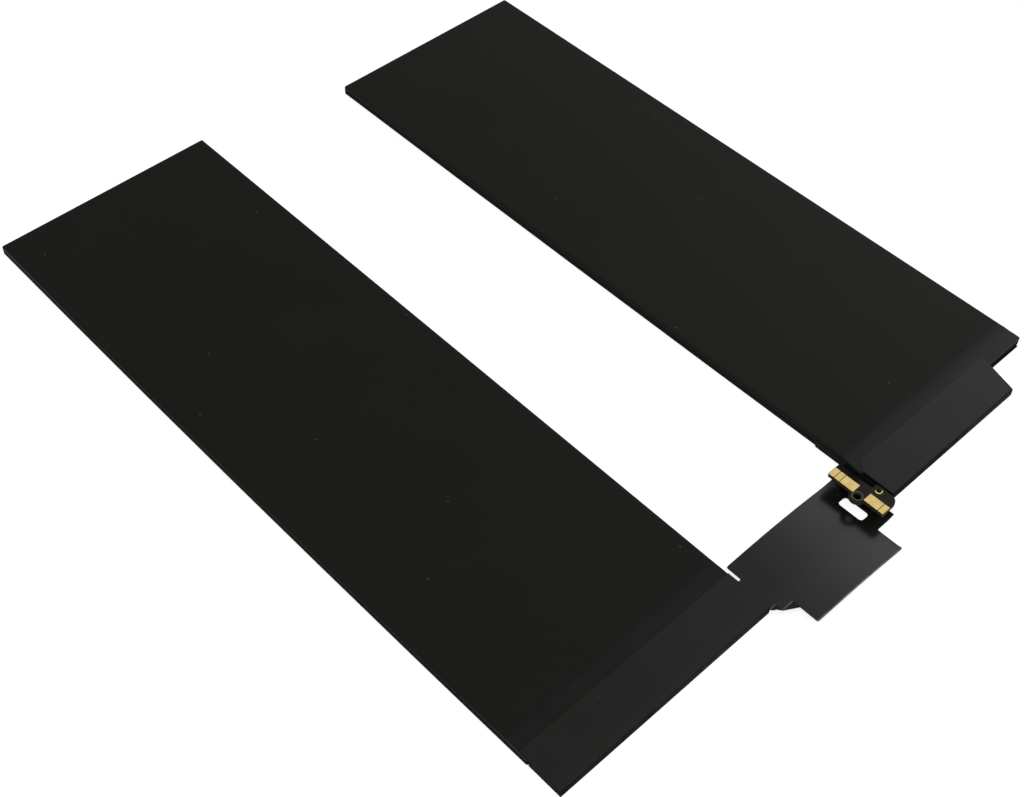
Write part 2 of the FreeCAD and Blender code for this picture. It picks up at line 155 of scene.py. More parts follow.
class BatteryFilms(bpy.types.PropertyGroup):
    """Colours and sizes of the pouch laminate, the wrap film and the flexible circuits."""

    pouch: colour("Pouch", "#1e1f1b", "Black face of the pouch laminate")
    pouch_cloud: colour("Pouch cloud", "#20221d", "Paler clouds in the pouch laminate")
    ledge: colour("Ledge", "#171815", "Burnished laminate on the pouches' pressed ledges")
    wrap: colour("Wrap", "#171815", "Black film of the end wraps and the bridge")
    # Paler colour that paints a sheen on the wrap film towards its near edges
    painted_sheen: colour("Sheen", "#20211e", "Wrap film rubbed paler towards its near edges")
    fold: colour("Fold", "#272825", "Scuffed film on the near faces of the end wraps")
    # Partly the cut core's own tone, partly a painted highlight along the film's cut edge
    cut_edge: colour("Cut edge", "#747572", "Bare core of the wrap film where it was cut")
    # Painted highlight: light colour of the film's edge where it turns down into a slit
    lip: colour("Slit lip", "#6c6d6b", "Highlight of the film where its edge turns down into a slit")
    coverlay: colour("Coverlay", "#1c1d1b", "Black coverlay of the bridge's flexible circuit")
    # Partly the tail's own black, partly painted shade: darkened to the tone of the shadowed gap by the
    # board
    tail: colour("Tail", "#080908", "Shadowed black coverlay of the contact board's tail")
    dust: colour("Dust", "#7d7e78", "Specks of dust on the films")
    skin: length("Skin", 0.02, "How far the finish of a fold or a ledge stands proud of its solid")
    seam_height: length("Seam height", 1.25, "Height of the folded side seam of a pouch")
    seam_thickness: length("Seam thickness", 0.06, "Thickness of the folded side seam of a pouch")
    outer_bow: length("Outer bow", 0.6, "How far the left pouch's outer side bows out at its middle")
    inner_bow: length("Inner bow", 0.3, "How far the right pouch's inner side bows out at its middle")
    bead: length("Cut bead", 0.18, "Radius of the bead that a cut leaves along the film's near edge")
    lip_width: length("Lip width", 0.24, "Width of the turned edge inside a slit")
    lip_height: length("Lip height", 0.1, "Height of the turned edge inside a slit")
    web: length("Web", 0.05, "Thickness of the film web in the first step's inside corner")
    web_drop: length("Web drop", 0.28, "Depth of the web's underside below the top of the left wrap")


class BatteryContacts(bpy.types.PropertyGroup):
    """Colours of the boards and of the metal parts, and sizes of the locating hole's rim."""

    mask: colour("Solder mask", "#201c15", "Black solder mask of the boards")
    core: colour("Board core", "#4a3c28", "Glass epoxy core that shows at the boards' sides")
    gold: colour("Gold", "#fce092", "Gold plating of the contact pads")
    # Painted shade: the locating ring's plating is given this dark colour away from its bright rim
    tarnish_and_painted_shade: colour("Shade", "#3d3320", "Shaded gold of the locating ring, away from its bright rim")
    tin: colour("Tin", "#5a564e", "Dulled tin plating of the screw ring")
    nickel: colour("Nickel", "#b9b4a8", "Rolled nickel of the negative tabs and the weld plates")
    aluminium: colour("Aluminium", "#d4d5d8", "Rolled aluminium of the positive tabs")
    epoxy: colour("Moulding", "#232324", "Moulded epoxy of the chips")
    rim: length("Rim", 0.16, "Radius of the rounded rim of the locating hole's plating")
    rim_reach: length("Rim reach", 0.74, "Distance of the rim's middle from the locating hole's axis")


class BatteryStudio(bpy.types.PropertyGroup):
    """Floor, lights and lens."""

    floor: colour("Floor", "#b6b6b6", "Matte floor")
    floor_lift: FloatProperty(name="Floor lift", default=0.8, min=0, max=1,
                              description="White that the floor adds to what the camera sees")
    sky: FloatProperty(name="Sky", default=0.35, min=0, description="Level of the dim studio all round")
    side: FloatProperty(name="Side light", default=1.62, min=0,
                        description="Level of the soft light from the right")
    lamp: FloatProperty(name="Lamp", default=1.7, min=0, unit="POWER",
                        description="Power of the soft lamp over the camera's side")
    lens: FloatProperty(name="Lens", default=54.06, min=1, unit="CAMERA",
                        description="Focal length of the camera")


def add(tree, kind, inputs=None, **options):
    """New node of a kind. Inputs are values, or the sockets that feed them, by socket name or number.

    A Mix node's sockets go by number: 0 is its factor, 2 and 3 are its numbers, 6 and 7 its colours.
    """
    node = tree.nodes.new(kind)
    for name, value in options.items():
        setattr(node, name, value)
    for key, value in (inputs or {}).items():
        if isinstance(value, bpy.types.NodeSocket):
            tree.links.new(value, node.inputs[key])
        else:
            node.inputs[key].default_value = value
    return node


def empty_material(name):
    """Material with an empty node tree."""
    material = bpy.data.materials.new(name)
    material.use_nodes = True
    material.node_tree.nodes.clear()
    return material, material.node_tree


def pouch_laminate(films):
    """Nylon-faced aluminium laminate, cold drawn into a tray.

    The eye sees an even, matte warm black with faint clouds, slow waves in its sheen and rare specks of
    dust. Its upright sides are scuffed dull. The real grain of 0.05 mm is drawn at 0.7 mm, so that it
    shows.
    """
    side_rough, face_rough, cloud_rough = 0.95, 0.34, 0.05
    material, tree = empty_material("nylon laminate, cold drawn")
    place = add(tree, "ShaderNodeTexCoord").outputs["Object"]
    split = add(tree, "ShaderNodeSeparateXYZ", {0: place})
    clouds = add(tree, "ShaderNodeTexNoise", {"Vector": place, "Scale": per_mm(18), "Detail": 3.0})
    tint = add(tree, "ShaderNodeMix", {0: clouds.outputs[0], 6: films.pouch, 7: films.pouch_cloud},
               data_type="RGBA")
    specks = add(tree, "ShaderNodeTexVoronoi", {"Vector": place, "Scale": per_mm(38), "Randomness": 1.0},
                 voronoi_dimensions="2D")
    speck = add(tree, "ShaderNodeMapRange", {
        "Value": specks.outputs["Distance"], "From Min": 0.002, "From Max": 0.006,
        "To Min": 0.55, "To Max": 0.0})
    dusty = add(tree, "ShaderNodeMix", {0: speck.outputs[0], 6: tint.outputs[2], 7: films.dust},
                data_type="RGBA")
    grain = add(tree, "ShaderNodeTexNoise", {"Vector": place, "Scale": per_mm(0.7), "Detail": 2.0})
    waves = add(tree, "ShaderNodeTexNoise", {"Vector": place, "Scale": per_mm(32), "Detail": 1.0})
    upper = add(tree, "ShaderNodeMapRange", {
        "Value": split.outputs["Z"], "From Min": SCUFF_TOP, "From Max": FACE_LOW})
    dull = add(tree, "ShaderNodeMix", {0: upper.outputs[0], 2: side_rough, 3: face_rough})
    rough = add(tree, "ShaderNodeMath", {0: clouds.outputs[0], 1: cloud_rough, 2: dull.outputs[0]},
                operation="MULTIPLY_ADD")
    slow = add(tree, "ShaderNodeBump", {"Height": waves.outputs[0], "Strength": 1.0, "Distance": 0.06 * MM})
    fine = add(tree, "ShaderNodeBump", {
        "Height": grain.outputs[0], "Strength": 0.5, "Distance": 0.008 * MM, "Normal": slow.outputs[0]})
    shader = add(tree, "ShaderNodeBsdfPrincipled", {
        "Base Color": dusty.outputs[2], "Roughness": rough.outputs[0], "Specular IOR Level": 0.08,
        "IOR": 1.5, "Normal": fine.outputs[0]})
    add(tree, "ShaderNodeOutputMaterial", {"Surface": shader.outputs[0]})
    return material


def wrap_film(name, films, gloss):
    """Black polyester film with an adhesive back, slit and folded by hand.

    The eye sees a satin black that mirrors softly and ripples a little. Towards its near edges, clear of
    the contact board, its colour is made paler: a painted sheen.
    """
    material, tree = empty_material(name)
    place = add(tree, "ShaderNodeTexCoord").outputs["Object"]
    split = add(tree, "ShaderNodeSeparateXYZ", {0: place})
    # Painted sheen: the film's colour grows paler towards its near edges and fades out by the contact board
    near = add(tree, "ShaderNodeMapRange", {
        "Value": split.outputs["Y"], "From Min": SHEEN_START, "From Max": SHEEN_FULL})
    clear = add(tree, "ShaderNodeMapRange", {
        "Value": split.outputs["X"], "From Min": SHEEN_FADE_START, "From Max": SHEEN_FADE_END,
        "To Min": 1.0, "To Max": 0.0})
    painted = add(tree, "ShaderNodeMath", {0: near.outputs[0], 1: clear.outputs[0]}, operation="MULTIPLY")
    tint = add(tree, "ShaderNodeMix", {0: painted.outputs[0], 6: films.wrap, 7: films.painted_sheen}, data_type="RGBA")
    smear = add(tree, "ShaderNodeTexNoise", {"Vector": place, "Scale": per_mm(9), "Detail": 3.0})
    specks = add(tree, "ShaderNodeTexVoronoi", {"Vector": place, "Scale": per_mm(21), "Randomness": 1.0},
                 voronoi_dimensions="2D")
    speck = add(tree, "ShaderNodeMapRange", {
        "Value": specks.outputs["Distance"], "From Min": 0.003, "From Max": 0.008,
        "To Min": 0.4, "To Max": 0.0})
    dusty = add(tree, "ShaderNodeMix", {0: speck.outputs[0], 6: tint.outputs[2], 7: films.dust},
                data_type="RGBA")
    satin = add(tree, "ShaderNodeMapRange", {
        "Value": smear.outputs[0], **NOISE_SPAN, "To Min": 0.2, "To Max": 0.26})
    ripple = add(tree, "ShaderNodeTexNoise", {"Vector": place, "Scale": per_mm(16), "Detail": 1.0})
    peel = add(tree, "ShaderNodeTexNoise", {"Vector": place, "Scale": per_mm(0.9), "Detail": 1.0})
    slow = add(tree, "ShaderNodeBump", {
        "Height": ripple.outputs[0], "Strength": 1.0, "Distance": 0.12 * MM})
    fine = add(tree, "ShaderNodeBump", {
        "Height": peel.outputs[0], "Strength": 0.4, "Distance": 0.003 * MM, "Normal": slow.outputs[0]})
    shader = add(tree, "ShaderNodeBsdfPrincipled", {
        "Base Color": dusty.outputs[2], "Roughness": satin.outputs[0], "Specular IOR Level": gloss,
        "IOR": 1.5, "Normal": fine.outputs[0]})
    add(tree, "ShaderNodeOutputMaterial", {"Surface": shader.outputs[0]})
    return material


def scuffed_film(films):
    """The same film on a hard fold: scuffed to a dull, nearly black face with a few paler rubs."""
    material, tree = empty_material("polyester film, scuffed on a fold")
    place = add(tree, "ShaderNodeTexCoord").outputs["Object"]
    rubs = add(tree, "ShaderNodeTexNoise", {"Vector": place, "Scale": per_mm(3), "Detail": 4.0})
    shade = add(tree, "ShaderNodeMapRange", {
        "Value": rubs.outputs[0], **NOISE_SPAN, "To Min": 0.7, "To Max": 1.5})
    tint = add(tree, "ShaderNodeVectorMath", {0: films.fold[:3], "Scale": shade.outputs[0]},
               operation="SCALE")
    bump = add(tree, "ShaderNodeBump", {"Height": rubs.outputs[0], "Strength": 0.4, "Distance": 0.03 * MM})
    shader = add(tree, "ShaderNodeBsdfPrincipled", {
        "Base Color": tint.outputs[0], "Roughness": 0.9, "Specular IOR Level": 0.05, "IOR": 1.5,
        "Normal": bump.outputs[0]})
    add(tree, "ShaderNodeOutputMaterial", {"Surface": shader.outputs[0]})
    return material


def pressed_laminate(films):
    """Pouch laminate burnished by the sealing bar.

    The eye sees a smoother, glossier black than the tray's, with faint pressing waves, which fades up the
    shoulder. There its colour is also darkened: a painted fade of the sheen.
    """
    painted_fade_tint, fade_rough = -0.6, 0.24
    material, tree = empty_material("nylon laminate, burnished by the sealing bar")
    place = add(tree, "ShaderNodeTexCoord").outputs["Object"]
    along = add(tree, "ShaderNodeSeparateXYZ", {0: place}).outputs["Y"]
    fade = add(tree, "ShaderNodeMapRange", {
        "Value": along, "From Min": LEDGE_FADE_START, "From Max": LEDGE_FADE_END})
    waves = add(tree, "ShaderNodeTexNoise", {"Vector": place, "Scale": per_mm(7), "Detail": 2.0})
    shade = add(tree, "ShaderNodeMapRange", {
        "Value": waves.outputs[0], **NOISE_SPAN, "To Min": 0.9, "To Max": 1.1})
    # Painted fade of the sheen: the colour darkens up the shoulder, over the pressing waves' own tone
    painted_fade_and_waves = add(tree, "ShaderNodeMath", {0: fade.outputs[0], 1: painted_fade_tint, 2: shade.outputs[0]},
               operation="MULTIPLY_ADD")
    tint = add(tree, "ShaderNodeVectorMath", {0: films.ledge[:3], "Scale": painted_fade_and_waves.outputs[0]},
               operation="SCALE")
    smooth = add(tree, "ShaderNodeMapRange", {
        "Value": waves.outputs[0], **NOISE_SPAN, "To Min": 0.27, "To Max": 0.34})
    rough = add(tree, "ShaderNodeMath", {0: fade.outputs[0], 1: fade_rough, 2: smooth.outputs[0]},
                operation="MULTIPLY_ADD")
    bump = add(tree, "ShaderNodeBump", {"Height": waves.outputs[0], "Strength": 1.0, "Distance": 0.03 * MM})
    shader = add(tree, "ShaderNodeBsdfPrincipled", {
        "Base Color": tint.outputs[0], "Roughness": rough.outputs[0], "Specular IOR Level": 0.214,
        "IOR": 1.5, "Normal": bump.outputs[0]})
    add(tree, "ShaderNodeOutputMaterial", {"Surface": shader.outputs[0]})
    return material


def cut_core_and_highlight(name, films, pale):
    """Bare polyester at a slit edge: a pale, dull line, broken where the black ink was dragged over it.
    Its pale colour is a painted highlight along the edge, over the core's own lighter tone.
    """
    material, tree = empty_material(name)
    place = add(tree, "ShaderNodeTexCoord").outputs["Object"]
    drag = add(tree, "ShaderNodeTexNoise", {"Vector": place, "Scale": per_mm(2.5), "Detail": 2.0})
    bare = add(tree, "ShaderNodeMapRange", {
        "Value": drag.outputs[0], "From Min": 0.35, "From Max": 0.6, "To Min": 0.4, "To Max": 1.0})
    tint = add(tree, "ShaderNodeMix", {0: bare.outputs[0], 6: films.wrap, 7: pale}, data_type="RGBA")
    shader = add(tree, "ShaderNodeBsdfPrincipled", {
        "Base Color": tint.outputs[2], "Roughness": 0.6, "Specular IOR Level": 0.3, "IOR": 1.5})
    add(tree, "ShaderNodeOutputMaterial", {"Surface": shader.outputs[0]})
    return material


def coverlay(name, base, gloss, dullness):
    """Polyimide coverlay, laminated over copper: nearly black and even, with the tracks' faint relief."""
    mottle_rough = 0.1
    material, tree = empty_material(name)
    place = add(tree, "ShaderNodeTexCoord").outputs["Object"]
    tracks = add(tree, "ShaderNodeTexWave", {
        "Vector": place, "Scale": per_mm(1.2) / WAVE_RADIANS, "Distortion": 0.0},
        wave_type="BANDS", bands_direction="Y")
    relief = add(tree, "ShaderNodeMapRange", {
        "Value": tracks.outputs[1], "From Min": 0.4, "From Max": 0.6, "To Min": 0.0, "To Max": 1.0})
    mottle = add(tree, "ShaderNodeTexNoise", {"Vector": place, "Scale": per_mm(1.5), "Detail": 2.0})
    rough = add(tree, "ShaderNodeMapRange", {
        "Value": mottle.outputs[0], **NOISE_SPAN, "To Min": dullness - mottle_rough, "To Max": dullness})
    bump = add(tree, "ShaderNodeBump", {
        "Height": relief.outputs[0], "Strength": 0.5, "Distance": 0.012 * MM})
    shade = add(tree, "ShaderNodeMapRange", {
        "Value": mottle.outputs[0], **NOISE_SPAN, "To Min": 0.85, "To Max": 1.1})
    tint = add(tree, "ShaderNodeVectorMath", {0: base[:3], "Scale": shade.outputs[0]}, operation="SCALE")
    shader = add(tree, "ShaderNodeBsdfPrincipled", {
        "Base Color": tint.outputs[0], "Roughness": rough.outputs[0], "Specular IOR Level": gloss,
        "IOR": 1.5, "Normal": bump.outputs[0]})
    add(tree, "ShaderNodeOutputMaterial", {"Surface": shader.outputs[0]})
    return material


def layered_board(contacts, name, low, high, shade_from):
    """Glass epoxy board, routed to shape: black mask on both faces and the brown woven core at its sides.

    Past a place along Y the mask is duller, and painted a deeper black as shade.
    """
    core_rough, mask_rough = 0.75, 0.32
    mask_shade_tint, mask_shade_rough = -0.7, 0.6
    material, tree = empty_material(name)
    place = add(tree, "ShaderNodeTexCoord").outputs["Object"]
    split = add(tree, "ShaderNodeSeparateXYZ", {0: place})
    height = split.outputs["Z"]
    mask_shade = add(tree, "ShaderNodeMapRange", {
        "Value": split.outputs["Y"], "From Min": shade_from, "From Max": shade_from + MASK_BLEND})
    over = add(tree, "ShaderNodeMath", {0: height, 1: high - MASK_FILM}, operation="GREATER_THAN")
    under = add(tree, "ShaderNodeMath", {0: height, 1: low + MASK_FILM}, operation="LESS_THAN")
    masked = add(tree, "ShaderNodeMath", {0: over.outputs[0], 1: under.outputs[0]}, operation="MAXIMUM")
    plies = add(tree, "ShaderNodeTexWave", {
        "Vector": place, "Scale": per_mm(0.22) / WAVE_RADIANS, "Distortion": 1.0, "Detail": 2.0,
        "Detail Scale": 2.0}, bands_direction="Z")
    darker = add(tree, "ShaderNodeMapRange", {"Value": plies.outputs[1], "To Min": 0.55, "To Max": 1.15})
    core = add(tree, "ShaderNodeVectorMath", {0: contacts.core[:3], "Scale": darker.outputs[0]},
               operation="SCALE")
    mottle = add(tree, "ShaderNodeTexNoise", {"Vector": place, "Scale": per_mm(2.2), "Detail": 3.0})
    cloud = add(tree, "ShaderNodeMapRange", {
        "Value": mottle.outputs[0], **NOISE_SPAN, "To Min": 0.8, "To Max": 1.25})
    # Painted shade: past the place along Y the mask's colour is darkened, over its own mottle
    shade_and_cloud = add(tree, "ShaderNodeMath", {0: mask_shade.outputs[0], 1: mask_shade_tint, 2: cloud.outputs[0]},
                operation="MULTIPLY_ADD")
    mask = add(tree, "ShaderNodeVectorMath", {0: contacts.mask[:3], "Scale": shade_and_cloud.outputs[0]},
               operation="SCALE")
    tint = add(tree, "ShaderNodeMix", {0: masked.outputs[0], 6: core.outputs[0], 7: mask.outputs[0]},
               data_type="RGBA")
    even = add(tree, "ShaderNodeMapRange", {
        "Value": masked.outputs[0], "To Min": core_rough, "To Max": mask_rough})
    rough = add(tree, "ShaderNodeMath", {0: mask_shade.outputs[0], 1: mask_shade_rough, 2: even.outputs[0]},
                operation="MULTIPLY_ADD", use_clamp=True)
    weave = add(tree, "ShaderNodeTexNoise", {"Vector": place, "Scale": per_mm(0.5), "Detail": 1.0})
    bump = add(tree, "ShaderNodeBump", {"Height": weave.outputs[0], "Strength": 0.4, "Distance": 0.01 * MM})
    shader = add(tree, "ShaderNodeBsdfPrincipled", {
        "Base Color": tint.outputs[2], "Roughness": rough.outputs[0], "Specular IOR Level": 0.16,
        "IOR": 1.5, "Normal": bump.outputs[0]})
    add(tree, "ShaderNodeOutputMaterial", {"Surface": shader.outputs[0]})
    return material


def gold_plating(contacts):
    """Immersion gold over nickel.

    The eye sees a warm, bright metal, softened by a satin grain and the drag marks of spring contacts.
    """
    material, tree = empty_material("gold over nickel, plated")
    place = add(tree, "ShaderNodeTexCoord").outputs["Object"]
    drawn = add(tree, "ShaderNodeMapping", {"Vector": place, "Scale": DRAGGED_ALONG_X})
    scratch = add(tree, "ShaderNodeTexNoise", {
        "Vector": drawn.outputs[0], "Scale": per_mm(0.35), "Detail": 3.0})
    tarnish_and_painted_shade = add(tree, "ShaderNodeTexNoise", {"Vector": place, "Scale": per_mm(1.6), "Detail": 2.0})
    shade = add(tree, "ShaderNodeMapRange", {
        "Value": tarnish_and_painted_shade.outputs[0], **NOISE_SPAN, "To Min": 0.86, "To Max": 1.04})
    tint = add(tree, "ShaderNodeVectorMath", {0: contacts.gold[:3], "Scale": shade.outputs[0]},
               operation="SCALE")
    rough = add(tree, "ShaderNodeMapRange", {
        "Value": scratch.outputs[0], **NOISE_SPAN, "To Min": 0.3, "To Max": 0.44})
    bump = add(tree, "ShaderNodeBump", {
        "Height": scratch.outputs[0], "Strength": 0.35, "Distance": 0.012 * MM})
    shader = add(tree, "ShaderNodeBsdfPrincipled", {
        "Base Color": tint.outputs[0], "Metallic": 1.0, "Roughness": rough.outputs[0],
        "Normal": bump.outputs[0]})
    add(tree, "ShaderNodeOutputMaterial", {"Surface": shader.outputs[0]})
    return material


def satin_metal(name, base, stretch):
    """Rolled or plated metal: a fine uneven sheen, which a stretch draws out into rolling lines."""
    material, tree = empty_material(name)
    place = add(tree, "ShaderNodeTexCoord").outputs["Object"]
    drawn = add(tree, "ShaderNodeMapping", {"Vector": place, "Scale": stretch})
    lines = add(tree, "ShaderNodeTexNoise", {
        "Vector": drawn.outputs[0], "Scale": per_mm(0.3), "Detail": 3.0})
    shade = add(tree, "ShaderNodeMapRange", {
        "Value": lines.outputs[0], **NOISE_SPAN, "To Min": 0.85, "To Max": 1.05})
    tint = add(tree, "ShaderNodeVectorMath", {0: base[:3], "Scale": shade.outputs[0]}, operation="SCALE")
    rough = add(tree, "ShaderNodeMapRange", {
        "Value": lines.outputs[0], **NOISE_SPAN, "To Min": 0.28, "To Max": 0.42})
    bump = add(tree, "ShaderNodeBump", {
        "Height": lines.outputs[0], "Strength": 0.3, "Distance": 0.008 * MM})
    shader = add(tree, "ShaderNodeBsdfPrincipled", {
        "Base Color": tint.outputs[0], "Metallic": 1.0, "Roughness": rough.outputs[0],
        "Normal": bump.outputs[0]})
    add(tree, "ShaderNodeOutputMaterial", {"Surface": shader.outputs[0]})
    return material


def moulded_epoxy(contacts):
    """Silica-filled epoxy, transfer moulded: dark grey, dull, with the fine pitting of the mould."""
    material, tree = empty_material("silica epoxy, moulded")
    place = add(tree, "ShaderNodeTexCoord").outputs["Object"]
    pits = add(tree, "ShaderNodeTexNoise", {"Vector": place, "Scale": per_mm(0.15), "Detail": 2.0})
    shade = add(tree, "ShaderNodeMapRange", {
        "Value": pits.outputs[0], **NOISE_SPAN, "To Min": 0.8, "To Max": 1.2})
    tint = add(tree, "ShaderNodeVectorMath", {0: contacts.epoxy[:3], "Scale": shade.outputs[0]},
               operation="SCALE")
    bump = add(tree, "ShaderNodeBump", {"Height": pits.outputs[0], "Strength": 0.5, "Distance": 0.01 * MM})
    shader = add(tree, "ShaderNodeBsdfPrincipled", {
        "Base Color": tint.outputs[0], "Roughness": 0.65, "Specular IOR Level": 0.4, "IOR": 1.55,
        "Normal": bump.outputs[0]})
    add(tree, "ShaderNodeOutputMaterial", {"Surface": shader.outputs[0]})
    return material


def coat(material, *names):
    """Gives CAD nodes their finished material."""
    for name in names:
        NODES[name].material_slots[0].material = material


def new_tree(name, *sizes):
    """Geometry node tree with a geometry input and output, and a named input for each of its sizes."""
    tree = bpy.data.node_groups.new(name, "GeometryNodeTree")
    tree.interface.new_socket("Geometry", in_out="INPUT", socket_type="NodeSocketGeometry")
    for label in sizes:
        tree.interface.new_socket(label, in_out="INPUT", socket_type="NodeSocketFloat")
    tree.interface.new_socket("Geometry", in_out="OUTPUT", socket_type="NodeSocketGeometry")
    return tree


def all_of(tree, first, *others):
    """Socket that is true where every one of some tests is."""
    held = first.outputs[0]
    for test in others:
        both = add(tree, "FunctionNodeBooleanMath", {0: held, 1: test.outputs[0]}, operation="AND")
        held = both.outputs[0]
    return held


def close_tree(tree, geometry, material):
    """Ends a geometry node tree in plain mesh with its material."""
    real = add(tree, "GeometryNodeRealizeInstances", {0: geometry})
    dressed = add(tree, "GeometryNodeSetMaterial", {0: real.outputs[0], "Material": material})
    add(tree, "NodeGroupOutput", {0: dressed.outputs[0]})


def rooted(name, mesh):
    """New piece that rides on the root, with the material that its mesh brings."""
    piece = bpy.data.objects.new(name, mesh)
    bpy.context.scene.collection.objects.link(piece)
    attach(piece, "root")


def grown(data, name, tree, values):
    """Piece that a geometry node tree grows from a curve or a mesh, turned into a plain mesh."""
    source = bpy.data.objects.new(name + "_source", data)
    bpy.context.scene.collection.objects.link(source)
    modifier = source.modifiers.new("grow", "NODES")
    modifier.node_group = tree
    for item in tree.interface.items_tree:
        if item.in_out == "INPUT" and item.name in values:
            modifier[item.identifier] = values[item.name]
    bpy.context.view_layer.update()
    graph = bpy.context.evaluated_depsgraph_get()
    mesh = bpy.data.meshes.new_from_object(source.evaluated_get(graph), depsgraph=graph)
    bpy.data.objects.remove(source)
    if not mesh.polygons:
        raise RuntimeError(name + " came out empty")
    mesh.name = name
    rooted(name, mesh)


def merged_copy(node):
    """Mesh of a CAD node with its loose triangles joined."""
    mesh = NODES[node].data.copy()
    work = bmesh.new()
    work.from_mesh(mesh)
    bmesh.ops.remove_doubles(work, verts=work.verts, dist=0.001 * MM)
    work.to_mesh(mesh)
    work.free()
    return mesh


def path(name, points):
    """Open curve through points."""
    data = bpy.data.curves.new(name, "CURVE")
    data.dimensions = "3D"
    spline = data.splines.new("POLY")
    spline.points.add(len(points) - 1)
    for point, place in zip(spline.points, points):
        point.co = (*place, 1.0)
    return data


def seam_points(x, bow, first, end, sunk):
    """Points along a pouch's side, which may bow towards -X. The seam's two ends sink into the pouch."""
    points = []
    for i in range(SEAM_STEPS + 1):
        y = first + (end - SEAM_MARGIN - first) * i / SEAM_STEPS
        share = (y - END_WALL) / (end - END_WALL)
        shift = sunk if i in (0, SEAM_STEPS) else 0.0
        points.append((x - 4 * bow * share * (1 - share) + shift, y, SEAM_LEVEL))
    return points


def film_web(name, plan, thickness, material):
    """Flat scrap of film, raised by its thickness from the outline of its underside."""
    mesh = bpy.data.meshes.new(name)
    work = bmesh.new()
    under = work.faces.new([work.verts.new(place) for place in plan])
    raised = bmesh.ops.extrude_face_region(work, geom=[under])["geom"]
    top = [item for item in raised if isinstance(item, bmesh.types.BMVert)]
    bmesh.ops.translate(work, verts=top, vec=(0, 0, thickness))
    bmesh.ops.recalc_face_normals(work, faces=work.faces)
    work.to_mesh(mesh)
    work.free()
    mesh.materials.append(material)
    rooted(name, mesh)


def film_strip_tree(name, material):
    """Flat strip that follows a path: a pouch's side seam, folded up against its wall, or a slit's lip."""
    tree = new_tree(name, "Height", "Thickness")
    start = add(tree, "NodeGroupInput")
    upright = add(tree, "GeometryNodeSetCurveNormal", {0: start.outputs["Geometry"]}, mode="Z_UP")
    section = add(tree, "GeometryNodeCurvePrimitiveQuadrilateral", {
        "Width": start.outputs["Thickness"], "Height": start.outputs["Height"]})
    strip = add(tree, "GeometryNodeCurveToMesh", {
        "Curve": upright.outputs[0], "Profile Curve": section.outputs[0], "Fill Caps": True})
    close_tree(tree, strip.outputs[0], material)
    return tree


def cut_bead_tree(material):
    """Fine bead along the near cut edge of a film: what the slitting blade leaves."""
    tree = new_tree("slit edge bead", "Radius", "Left limit", "Far limit")
    start = add(tree, "NodeGroupInput")
    angle = add(tree, "GeometryNodeInputMeshEdgeAngle")
    spot = add(tree, "ShaderNodeSeparateXYZ", {0: add(tree, "GeometryNodeInputPosition").outputs[0]})
    sharp = add(tree, "FunctionNodeCompare", {0: angle.outputs[0], 1: SHARP_EDGE}, operation="GREATER_THAN")
    past = add(tree, "FunctionNodeCompare", {0: spot.outputs["X"], 1: start.outputs["Left limit"]},
               operation="GREATER_THAN")
    near = add(tree, "FunctionNodeCompare", {0: spot.outputs["Y"], 1: start.outputs["Far limit"]},
               operation="LESS_THAN")
    chosen = all_of(tree, sharp, past, near)
    line = add(tree, "GeometryNodeMeshToCurve", {"Mesh": start.outputs["Geometry"], "Selection": chosen})
    section = add(tree, "GeometryNodeCurvePrimitiveCircle", {
        "Resolution": 6, "Radius": start.outputs["Radius"]})
    bead = add(tree, "GeometryNodeCurveToMesh", {
        "Curve": line.outputs[0], "Profile Curve": section.outputs[0], "Fill Caps": True})
    close_tree(tree, bead.outputs[0], material)
    return tree


def rim_tree(material):
    """Rounded rim that follows a path: the bright swollen edge of the plating beside a hole."""
    tree = new_tree("plated rim", "Radius")
    start = add(tree, "NodeGroupInput")
    section = add(tree, "GeometryNodeCurvePrimitiveCircle", {
        "Resolution": 14, "Radius": start.outputs["Radius"]})
    rim = add(tree, "GeometryNodeCurveToMesh", {
        "Curve": start.outputs["Geometry"], "Profile Curve": section.outputs[0], "Fill Caps": True})
    smooth = add(tree, "GeometryNodeSetShadeSmooth", {0: rim.outputs[0]})
    close_tree(tree, smooth.outputs[0], material)
    return tree


def skin_tree(name, material, flattest, steepest):
    """Finish over some faces of a solid, just proud of it.

    It takes the faces that lie in front of a limit along Y and left of a limit along X, and whose normals
    point up by more than the steepest share and less than the flattest.
    """
    tree = new_tree(name, "Lift", "Far limit", "Right limit")
    start = add(tree, "NodeGroupInput")
    spot = add(tree, "ShaderNodeSeparateXYZ", {0: add(tree, "GeometryNodeInputPosition").outputs[0]})
    facing = add(tree, "GeometryNodeInputNormal").outputs[0]
    upward = add(tree, "ShaderNodeSeparateXYZ", {0: facing}).outputs["Z"]
    near = add(tree, "FunctionNodeCompare", {0: spot.outputs["Y"], 1: start.outputs["Far limit"]},
               operation="LESS_THAN")
    left = add(tree, "FunctionNodeCompare", {0: spot.outputs["X"], 1: start.outputs["Right limit"]},
               operation="LESS_THAN")
    over = add(tree, "FunctionNodeCompare", {0: upward, 1: steepest}, operation="GREATER_THAN")
    under = add(tree, "FunctionNodeCompare", {0: upward, 1: flattest}, operation="LESS_THAN")
    chosen = all_of(tree, near, left, over, under)
    faces = add(tree, "GeometryNodeSeparateGeometry", {
        "Geometry": start.outputs["Geometry"], "Selection": chosen}, domain="FACE")
    smooth = add(tree, "GeometryNodeSetShadeSmooth", {0: faces.outputs[0]})
    out = add(tree, "ShaderNodeVectorMath", {0: facing, "Scale": start.outputs["Lift"]}, operation="SCALE")
    lifted = add(tree, "GeometryNodeSetPosition", {"Geometry": smooth.outputs[0], "Offset": out.outputs[0]})
    close_tree(tree, lifted.outputs[0], material)
    return tree


